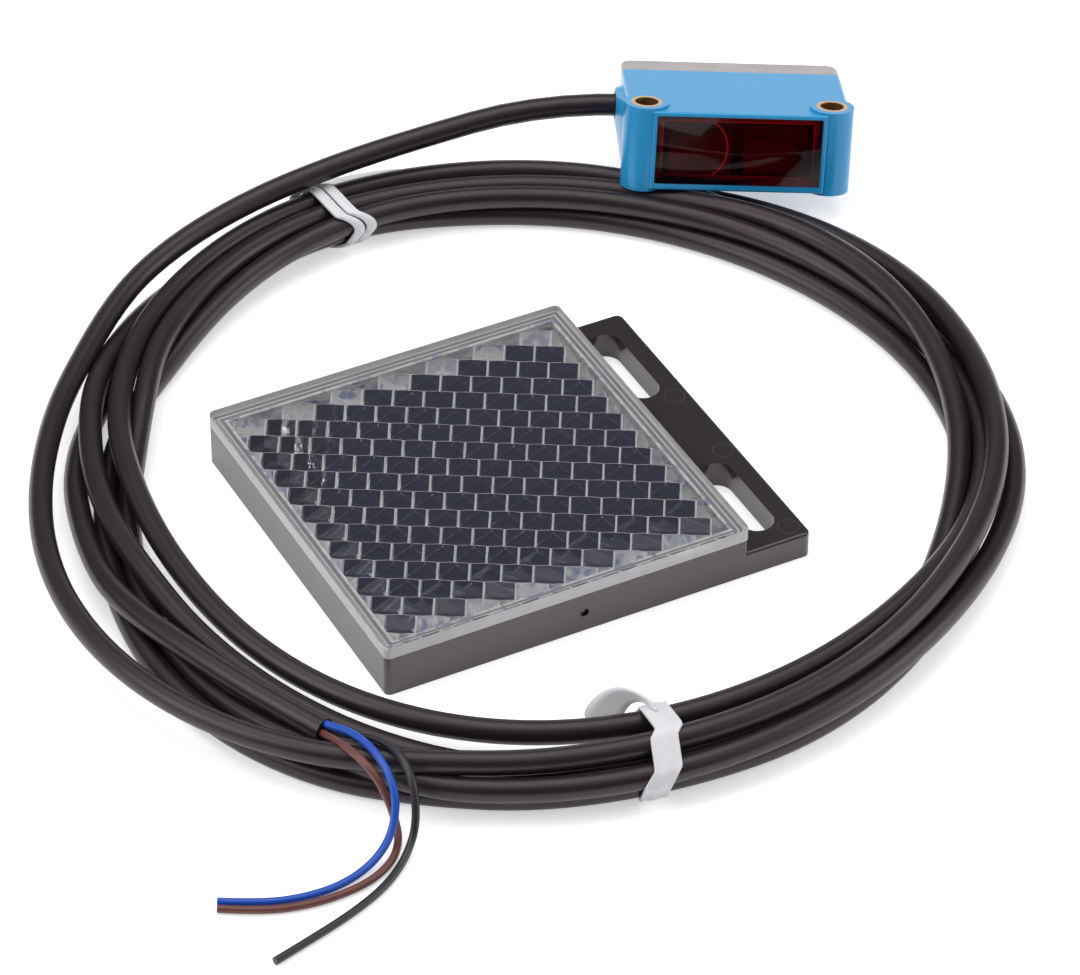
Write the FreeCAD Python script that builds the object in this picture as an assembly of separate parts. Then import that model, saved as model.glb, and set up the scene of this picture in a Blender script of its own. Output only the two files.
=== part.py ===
# Retroreflective photoelectric sensor: a small block-shaped head on a coiled cable,
# with the prism reflector that sends its light back lying in the middle of the coil.
# Millimetres, +Z up. The origin is the centre of the reflector's underside, on the bench.
import FreeCAD
import Part
import math
import os

Vector = FreeCAD.Vector
Rotation = FreeCAD.Rotation
X_AXIS = Vector(1, 0, 0)
Y_AXIS = Vector(0, 1, 0)
Z_AXIS = Vector(0, 0, 1)

# Reflector base: a shallow tray with a mounting tab along its +X side.
PLATE_X = 50.8
PLATE_Y = 52.4
PLATE_CORNER = 0.8
BASE_HEIGHT = 5.76
BASE_WALL = 1.6
BASE_FLOOR = 1.4
TAB_LENGTH = 9.0
TAB_THICK = 3.64
TAB_STEP = 0.75          # the tab stops this far short of the plate's +Y side
TAB_CORNER = 1.0
TAB_EDGE = 0.4           # rounding along the tab's upper rim
SLOT_WIDTH = 4.4
SLOT_LENGTH = 14.8
SLOT_SPACING = 30.6
SLOT_OFFSET = 4.0        # slot centre line from the plate's side
GATE_MARK_D = 1.2
GATE_MARK_DEPTH = 0.4
GATE_MARK_X = 2.0
GATE_MARK_Z = 2.9

# Reflector lens: a clear slab with corner-cube prisms on its underside.
LENS_SLAB = 2.02
LENS_EDGE = 0.25
PRISM_PITCH = 3.98       # centre to centre of neighbouring prisms
PRISM_SHIFT_X = -0.45    # how far one prism's middle lies from the plate's middle
PRISM_SHIFT_Y = -1.35
PRISM_MARGIN = 2.0       # plain border round the prism field
PRISM_ROOT = 0.3         # how far the prism block runs up into the slab
PRISM_STEP = 0.1         # the prism field stands this far below the slab's underside
KEY_DIGITS = 3           # prism edges that agree to this many digits are one edge

# Sensor head, in its own frame: X along its length, Y back from the front face,
# Z through its thickness, with the cable leaving at the -X end.
HEAD_DEPTH = 21.0
BODY_LENGTH = 30.4
BODY_THICK = 11.3
BODY_EDGE = 0.5          # rounding along the long edges
WALL = 1.2
COVER_DEPTH = 4.1        # clear cover at the back of the head
COVER_CORNER = 1.6
LIP_DEPTH = 1.0
LIP_WALL = 0.8
LIP_FIT = 0.05
FRONT_LENGTH = 23.9      # window block between the two bosses
FRONT_EDGE = 0.3
BOSS_PITCH = 25.4
BOSS_OD = 6.1
BOSS_SETBACK = 3.25      # boss axis behind the front face
BOSS_PROUD = 0.35        # boss ends stand above the broad faces
BUSH_OD = 4.3
BUSH_BORE = 3.2
WINDOW_LENGTH = 22.7
WINDOW_HEIGHT = 9.8
WINDOW_THICK = 1.2
WINDOW_CORNER = 0.25
WINDOW_RISE = 0.2        # the optics sit a little above the head's middle
WINDOW_FIT = 0.05
LEDGE = 0.8              # wall left behind the window
APERTURE_MARGIN = 1.1    # ledge width round the light opening

# Optics and electronics inside the head.
LENS_PITCH = 10.2
LENS_D = 7.4
LENS_FIT = 0.05
LENS_RIM = 1.4
LENS_CROWN = 1.2         # bulge of the convex side
LENS_SEAT = 3.0          # seat depth behind the carrier's front
TUNNEL_D = 6.2
CARRIER_LENGTH = 18.6
CARRIER_DEPTH = 9.6
CARRIER_FIT = 0.1
FILM_LENGTH = 8.6
FILM_HEIGHT = 7.0
FILM_THICK = 0.3
BOARD_THICK = 1.0
BOARD_FIT = 0.4
LED_SIDE = 2.4
LED_THICK = 0.6
LED_DOME_D = 1.8
DETECTOR_SIDE = 3.0
DETECTOR_THICK = 0.9
DETECTOR_EYE = 1.6       # side of the light-sensitive square
DETECTOR_EYE_DEPTH = 0.15
CHIP_LENGTH = 6.0
CHIP_HEIGHT = 5.0
CHIP_THICK = 1.1
CHIP_X = 1.0
INDICATOR_LENGTH = 2.0
INDICATOR_HEIGHT = 1.25
INDICATOR_THICK = 0.8
INDICATOR_PITCH = 5.0
INDICATOR_SETBACK = 4.6  # from the board's end
INDICATOR_Z = 2.4

# Cable outlet at the head's -X end.
CABLE_D = 3.1
OUTLET_SETBACK = 3.7     # outlet axis ahead of the cover's joint
OUTLET_Z = 1.8
OUTLET_REACH = 1.0       # how far the cable boss stands off the end wall
OUTLET_WALL = 0.25       # plastic left round the seal at the boss's narrow end
OUTLET_FOOT_EDGE = 0.3   # the boss's broad foot stays this far from the joint and the mounting boss
SEAL_WALL = 0.55

# Where the head lies: front-face centre in plan, then its three turns.
HEAD_X = 60.83
HEAD_Y = 40.88
HEAD_YAW = -24.24
HEAD_PITCH = -14.42
HEAD_ROLL = 3.36

# Coil of cable round the reflector, and the two ties that hold it.
COIL_X = 11.3
COIL_Y = 3.9
COIL_INNER_R = 49.7
COIL_STRANDS = 5         # turns of cable that lie side by side
TIE_WIDTH = 3.3
TIE_THICK = 0.5
TIE_TWIST_WIDTH = 2.4
TIE_TWIST_STEPS = 6
TIE_TWIST_TURN = 30.0    # degrees from one section of the twisted end to the next
TIE_TWIST_Z = 1.7
TIE_ROOT_PROUD = 0.125   # the twisted end's root stands this far out of the band
REAR_TIE_ANGLE = 88.0
REAR_TWIST_SWEEP = -9.5  # degrees round the coil, on its outside
REAR_TWIST_STAND = 2.4   # how far the tip stands off the coil
FRONT_TIE_ANGLE = 258.5
FRONT_TWIST_SWEEP = -7.5
FRONT_TWIST_STAND = 4.5

# Free cable and wires, as routes of hand-chosen points.
ARC_SHARE = 0.45         # share of the shorter run that each bend takes up
WIRE_D = 1.0
WIRE_OFFSET = 0.72       # wire centres from the middle of the cable's cut end
WIRE_FIRST_ANGLE = 90.0  # the blue wire is uppermost, the others evenly round
WIRE_STRAIGHT = 3.0      # each wire first runs straight out of the cut end
LEAD_STRAIGHT = 11.0     # and the cable straight out of the head's end wall
LEAD_ROUTE = [
    Vector(21.5, 65.7, 9.9),
    Vector(-0.8, 63.2, 8.0),
    Vector(-22.7, 54.2, 6.0),
    Vector(-34.6, 44.4, 2.0),
]
TAIL_ROUTE = [
    Vector(-48.8, 8.8, 2.0),
    Vector(-48.5, -1.5, 4.2),
    Vector(-45.9, -12.6, 5.4),
    Vector(-42.2, -24.0, 5.5),
    Vector(-37.7, -33.4, 5.5),
]
BLUE_ROUTE = [
    Vector(-34.9, -40.6, 6.9),
    Vector(-34.4, -45.0, 6.6),
    Vector(-35.4, -49.0, 4.9),
    Vector(-38.3, -52.1, 2.4),
    Vector(-42.6, -54.1, 1.0),
    Vector(-48.5, -54.6, 0.6),
    Vector(-54.2, -53.2, 0.6),
    Vector(-58.9, -50.3, 0.6),
]
BROWN_ROUTE = [
    Vector(-36.5, -41.2, 6.2),
    Vector(-35.8, -45.6, 5.4),
    Vector(-35.8, -49.4, 3.2),
    Vector(-38.3, -53.3, 1.0),
    Vector(-43.2, -55.6, 0.6),
    Vector(-49.0, -56.0, 0.6),
    Vector(-54.8, -54.5, 0.6),
    Vector(-59.8, -51.6, 0.6),
]
BLACK_ROUTE = [
    Vector(-33.0, -38.7, 6.4),
    Vector(-31.9, -42.8, 6.9),
    Vector(-32.4, -47.4, 6.5),
    Vector(-34.2, -51.5, 4.2),
    Vector(-37.6, -55.1, 1.4),
    Vector(-42.6, -58.1, 0.6),
    Vector(-48.2, -60.1, 0.6),
    Vector(-53.4, -61.3, 0.6),
    Vector(-57.4, -62.6, 0.6),
]

# Sizes that follow from the ones above.
CELL_REACH = PRISM_PITCH / math.sqrt(3)
CUBE_RISE = PRISM_PITCH / math.sqrt(6)
PLATE_TOP = BASE_HEIGHT + LENS_SLAB
BASE_SIDE = PLATE_X / 2
TAB_Y0 = -PLATE_Y / 2
TAB_Y1 = PLATE_Y / 2 - TAB_STEP
SLOT_X = BASE_SIDE + SLOT_OFFSET
SLOT_MIDDLE_Y = (TAB_Y0 + TAB_Y1) / 2
JOINT_Y = HEAD_DEPTH - COVER_DEPTH
HALF_BODY = BODY_LENGTH / 2
HALF_THICK = BODY_THICK / 2
BOSS_LENGTH = BODY_THICK + 2 * BOSS_PROUD
BOSS_X = BOSS_PITCH / 2
CAVITY_X = HALF_BODY - WALL
CAVITY_Z = HALF_THICK - WALL
LEDGE_BACK = WINDOW_THICK + LEDGE
BOARD_Y = LEDGE_BACK + CARRIER_DEPTH
BOARD_BACK = BOARD_Y + BOARD_THICK
BOARD_X = CAVITY_X - BOARD_FIT
INDICATOR_X = BOARD_X - INDICATOR_SETBACK
OUTLET_Y = JOINT_Y - OUTLET_SETBACK
SEAL_OD = CABLE_D + 2 * SEAL_WALL
OUTLET_END_X = -(HALF_BODY + OUTLET_REACH)
COIL_OUTER_R = COIL_INNER_R + COIL_STRANDS * CABLE_D
COIL_MIDDLE_R = (COIL_INNER_R + COIL_OUTER_R) / 2
COIL_TOP = TIE_THICK + CABLE_D
STRAND_BEVEL = CABLE_D / (2 + math.sqrt(2))


def box(x0, x1, y0, y1, z0, z1):
    return Part.makeBox(x1 - x0, y1 - y0, z1 - z0, Vector(x0, y0, z0))


def rod(diameter, start, end):
    return Part.makeCylinder(diameter / 2, (end - start).Length, start, end - start)


def edges_where(shape, keep):
    return [edge for edge in shape.Edges if keep(edge.CenterOfMass, edge)]


def runs_along(edge, axis):
    ends = [vertex.Point for vertex in edge.Vertexes]
    return len(ends) == 2 and (ends[1] - ends[0]).normalize().cross(axis).Length < 1e-6


def near(value, target):
    return abs(value - target) < 1e-4


def save(shape, node):
    shape.exportStep("parts/" + node + ".step")


# Reflector

def plate_block(z0, z1):
    block = box(-PLATE_X / 2, PLATE_X / 2, -PLATE_Y / 2, PLATE_Y / 2, z0, z1)
    uprights = edges_where(block, lambda c, e: runs_along(e, Z_AXIS))
    return block.makeFillet(PLATE_CORNER, uprights)


def mounting_tab():
    """The flange at the +X side, rounded at its two free corners and along its upper rim."""
    end_x = BASE_SIDE + TAB_LENGTH
    tab = box(BASE_SIDE - BASE_WALL, end_x, TAB_Y0, TAB_Y1, 0, TAB_THICK)
    corners = edges_where(tab, lambda c, e: runs_along(e, Z_AXIS) and near(c.x, end_x))
    tab = tab.makeFillet(TAB_CORNER, corners)
    rim = edges_where(tab, lambda c, e: near(c.z, TAB_THICK) and c.x > BASE_SIDE)
    return tab.makeFillet(TAB_EDGE, rim)


def slot_cutter(y):
    straight = (SLOT_LENGTH - SLOT_WIDTH) / 2
    half = SLOT_WIDTH / 2
    cutter = box(SLOT_X - half, SLOT_X + half, y - straight, y + straight, 0, TAB_THICK)
    for end_y in (y - straight, y + straight):
        end = rod(SLOT_WIDTH, Vector(SLOT_X, end_y, 0), Vector(SLOT_X, end_y, TAB_THICK))
        cutter = cutter.fuse(end)
    return cutter.removeSplitter()


def reflector_base():
    inner_x = PLATE_X / 2 - BASE_WALL
    inner_y = PLATE_Y / 2 - BASE_WALL
    tray = plate_block(0, BASE_HEIGHT)
    tray = tray.fuse(mounting_tab()).removeSplitter()
    tray = tray.cut(box(-inner_x, inner_x, -inner_y, inner_y, BASE_FLOOR, BASE_HEIGHT))
    for side in (-1, 1):
        tray = tray.cut(slot_cutter(SLOT_MIDDLE_Y + side * SLOT_SPACING / 2))
    mark = Vector(GATE_MARK_X, -PLATE_Y / 2, GATE_MARK_Z)
    return tray.cut(rod(GATE_MARK_D, mark, mark + Y_AXIS * GATE_MARK_DEPTH))


def cell_centres():
    """Hexagonal lattice with one of its directions along Y, over a little more than the field."""
    column_step = PRISM_PITCH * math.sqrt(3) / 2
    columns = math.ceil(PLATE_X / 2 / column_step)
    rows = math.ceil(PLATE_Y / 2 / PRISM_PITCH)
    for column in range(-columns, columns + 1):
        shift = PRISM_PITCH / 2 * (column % 2)
        for row in range(-rows - 1, rows + 1):
            yield column * column_step, row * PRISM_PITCH + shift


def prism_facets(x, y, apex_z):
    """Three square facets, at right angles to each other, that meet at the prism's apex."""
    ring = []
    for step in range(6):
        angle = math.radians(60 * step)
        rise = CUBE_RISE * (2 - step % 2)
        ring.append(Vector(x + CELL_REACH * math.cos(angle), y + CELL_REACH * math.sin(angle), apex_z + rise))
    apex = Vector(x, y, apex_z)
    return [[apex, ring[k - 1], ring[k], ring[k + 1]] for k in (0, 2, 4)]


def edge_key(start, end):
    """The same key for an edge from either of its facets, counted in pitches and not in millimetres."""
    ends = [tuple(round(value / PRISM_PITCH, KEY_DIGITS) for value in point) for point in (start, end)]
    return tuple(sorted(ends))


def polygon_face(points):
    return Part.Face(Part.makePolygon(points + [points[0]]))


def prism_block():
    """The prism sheet closed by upright walls and a flat top, then trimmed to the field."""
    top_z = BASE_HEIGHT + PRISM_ROOT
    apex_z = BASE_HEIGHT - PRISM_STEP - 2 * CUBE_RISE
    faces = []
    rim = {}
    for x, y in cell_centres():
        for facet in prism_facets(x, y, apex_z):
            faces.append(polygon_face(facet))
            for start, end in zip(facet, facet[1:] + facet[:1]):
                key = edge_key(start, end)
                if key in rim:
                    del rim[key]
                else:
                    rim[key] = (start, end)
    top_edges = []
    for start, end in rim.values():
        above_start = Vector(start.x, start.y, top_z)
        above_end = Vector(end.x, end.y, top_z)
        faces.append(polygon_face([start, end, above_end, above_start]))
        top_edges.append(Part.makeLine(above_start, above_end))
    faces.append(Part.Face(Part.Wire(Part.__sortEdges__(top_edges))))
    shell = Part.makeShell(faces)
    shell.sewShape()
    block = Part.makeSolid(shell)
    block.translate(Vector(PRISM_SHIFT_X, PRISM_SHIFT_Y, 0))
    field_x = PLATE_X / 2 - PRISM_MARGIN
    field_y = PLATE_Y / 2 - PRISM_MARGIN
    return block.common(box(-field_x, field_x, -field_y, field_y, apex_z, top_z))


def reflector_lens():
    slab = plate_block(BASE_HEIGHT, PLATE_TOP)
    rim = edges_where(slab, lambda c, e: near(c.z, PLATE_TOP))
    slab = slab.makeFillet(LENS_EDGE, rim)
    return slab.fuse(prism_block())


# Sensor head, built in its own frame

def boss_axis(side):
    start = Vector(side * BOSS_X, BOSS_SETBACK, -BOSS_LENGTH / 2)
    return start, start + Z_AXIS * BOSS_LENGTH


def window_pocket(margin, y0, y1):
    """A rounded block of the window's outline, drawn in by the margin on every side."""
    half_x = WINDOW_LENGTH / 2 - margin
    half_z = WINDOW_HEIGHT / 2 - margin
    block = box(-half_x, half_x, y0, y1, WINDOW_RISE - half_z, WINDOW_RISE + half_z)
    corners = edges_where(block, lambda c, e: runs_along(e, Y_AXIS))
    return block.makeFillet(WINDOW_CORNER, corners)


def head_slab(y0, y1):
    """A length of the head's main section, with its four long edges rounded."""
    slab = box(-HALF_BODY, HALF_BODY, y0, y1, -HALF_THICK, HALF_THICK)
    long_edges = edges_where(slab, lambda c, e: runs_along(e, Y_AXIS))
    return slab.makeFillet(BODY_EDGE, long_edges)


def front_block():
    half = FRONT_LENGTH / 2
    block = box(-half, half, 0, BOSS_SETBACK + WALL, -HALF_THICK, HALF_THICK)
    face_rim = edges_where(block, lambda c, e: near(c.y, 0))
    return block.makeFillet(FRONT_EDGE, face_rim)


def outlet_point(x):
    return Vector(x, OUTLET_Y, OUTLET_Z)


def cable_boss():
    """A skewed cone from a broad foot on the end wall to a narrow rim round the seal."""
    foot_y0 = BOSS_SETBACK + BOSS_OD / 2 + OUTLET_FOOT_EDGE
    foot_y1 = JOINT_Y - OUTLET_FOOT_EDGE
    foot_y = (foot_y0 + foot_y1) / 2
    foot_r = min(foot_y1 - foot_y0, BODY_THICK - 2 * BODY_EDGE) / 2
    rings = [
        Part.makeCircle(foot_r, Vector(-CAVITY_X, foot_y, 0), X_AXIS),
        Part.makeCircle(foot_r, Vector(-HALF_BODY, foot_y, 0), X_AXIS),
        Part.makeCircle(SEAL_OD / 2 + OUTLET_WALL, outlet_point(OUTLET_END_X), X_AXIS),
    ]
    return Part.makeLoft([Part.Wire(ring) for ring in rings], True, True)


def housing_cavity():
    front_x = FRONT_LENGTH / 2 - WALL
    cavity = box(-CAVITY_X, CAVITY_X, BOSS_SETBACK + WALL, JOINT_Y, -CAVITY_Z, CAVITY_Z)
    cavity = cavity.fuse(box(-front_x, front_x, LEDGE_BACK, JOINT_Y, -CAVITY_Z, CAVITY_Z))
    for side in (-1, 1):
        cavity = cavity.cut(rod(BOSS_OD, *boss_axis(side)))
    return cavity


def sensor_housing():
    shell = head_slab(BOSS_SETBACK, JOINT_Y).fuse(front_block())
    for side in (-1, 1):
        shell = shell.fuse(rod(BOSS_OD, *boss_axis(side)))
    shell = shell.fuse(cable_boss()).removeSplitter()
    shell = shell.cut(housing_cavity())
    shell = shell.cut(window_pocket(0, 0, WINDOW_THICK))
    shell = shell.cut(window_pocket(APERTURE_MARGIN, WINDOW_THICK, LEDGE_BACK))
    for side in (-1, 1):
        shell = shell.cut(rod(BUSH_OD, *boss_axis(side)))
    return shell.cut(rod(SEAL_OD, outlet_point(OUTLET_END_X), outlet_point(-CAVITY_X)))


def rear_cover():
    """Clear cap with rounded back corners and a lip that plugs into the housing."""
    cap = box(-HALF_BODY, HALF_BODY, JOINT_Y, HEAD_DEPTH, -HALF_THICK, HALF_THICK)
    corners = edges_where(cap, lambda c, e: runs_along(e, Z_AXIS) and near(c.y, HEAD_DEPTH))
    cap = cap.makeFillet(COVER_CORNER, corners)
    rim = edges_where(cap, lambda c, e: near(abs(c.z), HALF_THICK) and c.y > JOINT_Y + LIP_FIT)
    cap = cap.makeFillet(BODY_EDGE, rim)
    lip_x = CAVITY_X - LIP_FIT
    lip_z = CAVITY_Z - LIP_FIT
    cap = cap.fuse(box(-lip_x, lip_x, JOINT_Y - LIP_DEPTH, JOINT_Y + WALL, -lip_z, lip_z))
    hollow_x = lip_x - LIP_WALL
    hollow_z = lip_z - LIP_WALL
    hollow = box(-hollow_x, hollow_x, JOINT_Y - LIP_DEPTH, HEAD_DEPTH - WALL, -hollow_z, hollow_z)
    return cap.cut(hollow)


def front_window():
    return window_pocket(WINDOW_FIT, 0, WINDOW_THICK)


def mounting_bush(side):
    start, end = boss_axis(side)
    return rod(BUSH_OD, start, end).cut(rod(BUSH_BORE, start, end))


def lens_axis_point(side, y):
    return Vector(side * LENS_PITCH / 2, y, WINDOW_RISE)


def optics_carrier():
    half_x = CARRIER_LENGTH / 2
    half_z = CAVITY_Z - CARRIER_FIT
    block = box(-half_x, half_x, LEDGE_BACK, BOARD_Y, -half_z, half_z)
    for side in (-1, 1):
        front = lens_axis_point(side, LEDGE_BACK)
        block = block.cut(rod(LENS_D + 2 * LENS_FIT, front, front + Y_AXIS * LENS_SEAT))
        block = block.cut(rod(TUNNEL_D, front, lens_axis_point(side, BOARD_Y)))
    return block


def plano_convex_lens(side):
    radius = LENS_D / 2
    back_y = LENS_SEAT
    rim_y = back_y - LENS_RIM
    crown_y = rim_y - LENS_CROWN
    crown_radius = (radius ** 2 + LENS_CROWN ** 2) / (2 * LENS_CROWN)
    half_angle = math.asin(radius / crown_radius) / 2
    mid_r = crown_radius * math.sin(half_angle)
    mid_y = crown_y + crown_radius * (1 - math.cos(half_angle))
    outline = [
        Part.makeLine(Vector(0, back_y, 0), Vector(radius, back_y, 0)),
        Part.makeLine(Vector(radius, back_y, 0), Vector(radius, rim_y, 0)),
        Part.Arc(Vector(radius, rim_y, 0), Vector(mid_r, mid_y, 0), Vector(0, crown_y, 0)).toShape(),
        Part.makeLine(Vector(0, crown_y, 0), Vector(0, back_y, 0)),
    ]
    lens = Part.Face(Part.Wire(outline)).revolve(Vector(0, 0, 0), Y_AXIS, 360)
    lens.translate(lens_axis_point(side, LEDGE_BACK))
    return lens


def polariser(side):
    centre = lens_axis_point(side, WINDOW_THICK)
    half_x = FILM_LENGTH / 2
    half_z = FILM_HEIGHT / 2
    return box(centre.x - half_x, centre.x + half_x, centre.y, centre.y + FILM_THICK,
               centre.z - half_z, centre.z + half_z)


def square_block(centre, side, y0, y1):
    half = side / 2
    return box(centre.x - half, centre.x + half, y0, y1, centre.z - half, centre.z + half)


def emitter_led():
    """Flat package with a small clear dome towards the lens."""
    centre = lens_axis_point(-1, BOARD_Y)
    package = square_block(centre, LED_SIDE, BOARD_Y - LED_THICK, BOARD_Y)
    top = lens_axis_point(-1, BOARD_Y - LED_THICK)
    dome = Part.makeSphere(LED_DOME_D / 2, top)
    dome = dome.cut(square_block(centre, LED_SIDE, BOARD_Y - LED_THICK, BOARD_Y + LED_DOME_D))
    return package.fuse(dome)


def receiver_diode():
    """Flat package with a shallow square well over its light-sensitive face."""
    centre = lens_axis_point(1, BOARD_Y)
    front = BOARD_Y - DETECTOR_THICK
    package = square_block(centre, DETECTOR_SIDE, front, BOARD_Y)
    return package.cut(square_block(centre, DETECTOR_EYE, front, front + DETECTOR_EYE_DEPTH))


def circuit_board():
    half_z = CAVITY_Z - BOARD_FIT
    return box(-BOARD_X, BOARD_X, BOARD_Y, BOARD_BACK, -half_z, half_z)


def signal_chip():
    half_x = CHIP_LENGTH / 2
    half_z = CHIP_HEIGHT / 2
    return box(CHIP_X - half_x, CHIP_X + half_x, BOARD_BACK, BOARD_BACK + CHIP_THICK, -half_z, half_z)


def indicator_led(place):
    x = INDICATOR_X
    z = INDICATOR_Z - place * INDICATOR_PITCH
    half_x = INDICATOR_LENGTH / 2
    half_z = INDICATOR_HEIGHT / 2
    return box(x - half_x, x + half_x, BOARD_BACK, BOARD_BACK + INDICATOR_THICK, z - half_z, z + half_z)


def cable_seal():
    start = outlet_point(OUTLET_END_X)
    end = outlet_point(-CAVITY_X)
    return rod(SEAL_OD, start, end).cut(rod(CABLE_D, start, end))


def head_pieces():
    return {
        "sensor_housing": sensor_housing(),
        "rear_cover": rear_cover(),
        "front_window": front_window(),
        "mounting_bush_left": mounting_bush(-1),
        "mounting_bush_right": mounting_bush(1),
        "optics_carrier": optics_carrier(),
        "emitter_lens": plano_convex_lens(-1),
        "receiver_lens": plano_convex_lens(1),
        "emitter_polariser": polariser(-1),
        "receiver_polariser": polariser(1),
        "emitter_led": emitter_led(),
        "receiver_diode": receiver_diode(),
        "circuit_board": circuit_board(),
        "signal_chip": signal_chip(),
        "indicator_led_green": indicator_led(0),
        "indicator_led_yellow": indicator_led(1),
        "cable_seal": cable_seal(),
    }


def head_placement(pieces):
    """The head lies nose up on its lowest corner, so its height follows from its shape."""
    turn = Rotation(Z_AXIS, HEAD_YAW) * Rotation(X_AXIS, HEAD_PITCH) * Rotation(Y_AXIS, HEAD_ROLL)
    outside = Part.makeCompound([pieces["sensor_housing"], pieces["rear_cover"]])
    turned = outside.transformed(FreeCAD.Placement(Vector(0, 0, 0), turn).toMatrix(), True)
    height = -turned.optimalBoundingBox(False).ZMin
    return FreeCAD.Placement(Vector(HEAD_X, HEAD_Y, height), turn)


# Cable, wires and ties

def rounded_path(points, name):
    """Straight runs joined by tangent arcs, each as large as its two runs allow."""
    edges = []
    radii = []
    last = points[0]
    for before, corner, after in zip(points, points[1:], points[2:]):
        into = corner - before
        out = after - corner
        cut_back = ARC_SHARE * min(into.Length, out.Length)
        into.normalize()
        out.normalize()
        half_turn = into.getAngle(out) / 2
        radius = cut_back / math.tan(half_turn)
        radii.append(round(radius, 1))
        inward = (out - into).normalize()
        start = corner - into * cut_back
        middle = corner + inward * radius * (1 / math.cos(half_turn) - 1)
        end = corner + out * cut_back
        edges.append(Part.makeLine(last, start))
        edges.append(Part.Arc(start, middle, end).toShape())
        last = end
    edges.append(Part.makeLine(last, points[-1]))
    print(name, "bend radii", radii)
    return Part.Wire(edges)


def tube(points, diameter, name):
    path = rounded_path(points, name)
    section = Part.Wire(Part.makeCircle(diameter / 2, points[0], points[1] - points[0]))
    solid = path.makePipeShell([section], True, False)
    ideal = math.pi * diameter ** 2 / 4 * path.Length
    print(name, "length %.1f, volume %.2f of %.2f" % (path.Length, solid.Volume, ideal))
    return solid


def section_face(corners):
    return polygon_face([Vector(x, 0, z) for x, z in corners])


def coil_section():
    """Turns side by side, each with an eight-sided back, on a flat underside."""
    shoulder_z = COIL_TOP - STRAND_BEVEL
    corners = [(COIL_OUTER_R, shoulder_z), (COIL_OUTER_R, TIE_THICK + STRAND_BEVEL),
               (COIL_OUTER_R - STRAND_BEVEL, TIE_THICK), (COIL_INNER_R + STRAND_BEVEL, TIE_THICK),
               (COIL_INNER_R, TIE_THICK + STRAND_BEVEL)]
    for strand in range(COIL_STRANDS):
        x = COIL_INNER_R + strand * CABLE_D
        corners += [(x, shoulder_z), (x + STRAND_BEVEL, COIL_TOP), (x + CABLE_D - STRAND_BEVEL, COIL_TOP)]
    return section_face(corners)


def wrap_section(grow):
    """The coil's outline as a tie bears on it, grown outwards by a wall."""
    x0 = COIL_INNER_R - grow
    x1 = COIL_OUTER_R + grow
    z0 = TIE_THICK - grow
    z1 = COIL_TOP + grow
    bevel = STRAND_BEVEL + grow * (2 - math.sqrt(2))
    return section_face([(x0, z0 + bevel), (x0, z1 - bevel), (x0 + bevel, z1), (x1 - bevel, z1),
                         (x1, z1 - bevel), (x1, z0 + bevel), (x1 - bevel, z0), (x0 + bevel, z0)])


def coil_revolve(section, start_angle, angle):
    solid = section.revolve(Vector(0, 0, 0), Z_AXIS, angle)
    solid.rotate(Vector(0, 0, 0), Z_AXIS, start_angle)
    solid.translate(Vector(COIL_X, COIL_Y, 0))
    return solid


def cable_coil():
    return coil_revolve(coil_section(), 0, 360)


def coil_point(angle, radius, z):
    turn = math.radians(angle)
    return Vector(COIL_X + radius * math.cos(turn), COIL_Y + radius * math.sin(turn), z)


def twisted_end(start, end):
    """The tie's free end: a flat strip, flat against the band at first and then turned."""
    along = (end - start).normalize()
    across = along.cross(Z_AXIS).normalize()
    upright = across.cross(along)
    sections = []
    for step in range(TIE_TWIST_STEPS + 1):
        turn = Rotation(along, TIE_TWIST_TURN * max(0, step - 1))
        wide = turn.multVec(upright) * (TIE_TWIST_WIDTH / 2)
        thin = turn.multVec(across) * (TIE_THICK / 2)
        middle = start + (end - start) * (step / TIE_TWIST_STEPS)
        corners = [middle + wide + thin, middle - wide + thin, middle - wide - thin, middle + wide - thin]
        sections.append(Part.makePolygon(corners + corners[:1]))
    return Part.makeLoft(sections, True, True)


def twist_tie(angle, wall_radius, outward, sweep, stand):
    """A flat band once round the coil's section, with its twisted end beside one wall."""
    band_section = wrap_section(TIE_THICK).cut(wrap_section(0)).Faces[0]
    spread = math.degrees(TIE_WIDTH / COIL_MIDDLE_R)
    band = coil_revolve(band_section, angle - spread / 2, spread)
    root = coil_point(angle, wall_radius + outward * (TIE_THICK / 2 + TIE_ROOT_PROUD), TIE_TWIST_Z)
    tip = coil_point(angle + sweep, wall_radius + outward * (TIE_THICK + stand), TIE_TWIST_Z)
    return band.fuse(twisted_end(root, tip))


def twist_ties():
    rear = twist_tie(REAR_TIE_ANGLE, COIL_OUTER_R, 1, REAR_TWIST_SWEEP, REAR_TWIST_STAND)
    front = twist_tie(FRONT_TIE_ANGLE, COIL_INNER_R, -1, FRONT_TWIST_SWEEP, FRONT_TWIST_STAND)
    return {"rear_twist_tie": rear, "front_twist_tie": front}


def above_coil(solid):
    """What stands above the coil's flat top: the rest of a cable's end is inside the coil."""
    reach = solid.BoundBox
    return solid.common(box(reach.XMin, reach.XMax, reach.YMin, reach.YMax, COIL_TOP, reach.ZMax))


def wire_run(clock_angle, route):
    """A wire's points, from its place round the middle of the cable's cut end."""
    end = TAIL_ROUTE[-1]
    along = (end - TAIL_ROUTE[-2]).normalize()
    inner_side = Z_AXIS.cross(along).normalize()
    upright = along.cross(inner_side)
    angle = math.radians(clock_angle)
    start = end + (inner_side * math.cos(angle) + upright * math.sin(angle)) * WIRE_OFFSET
    return [start, start + along * WIRE_STRAIGHT] + route


def lead_run(placement):
    start = placement.multVec(outlet_point(-CAVITY_X))
    straight_end = placement.multVec(outlet_point(-HALF_BODY - LEAD_STRAIGHT))
    return [start, straight_end] + LEAD_ROUTE


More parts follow.
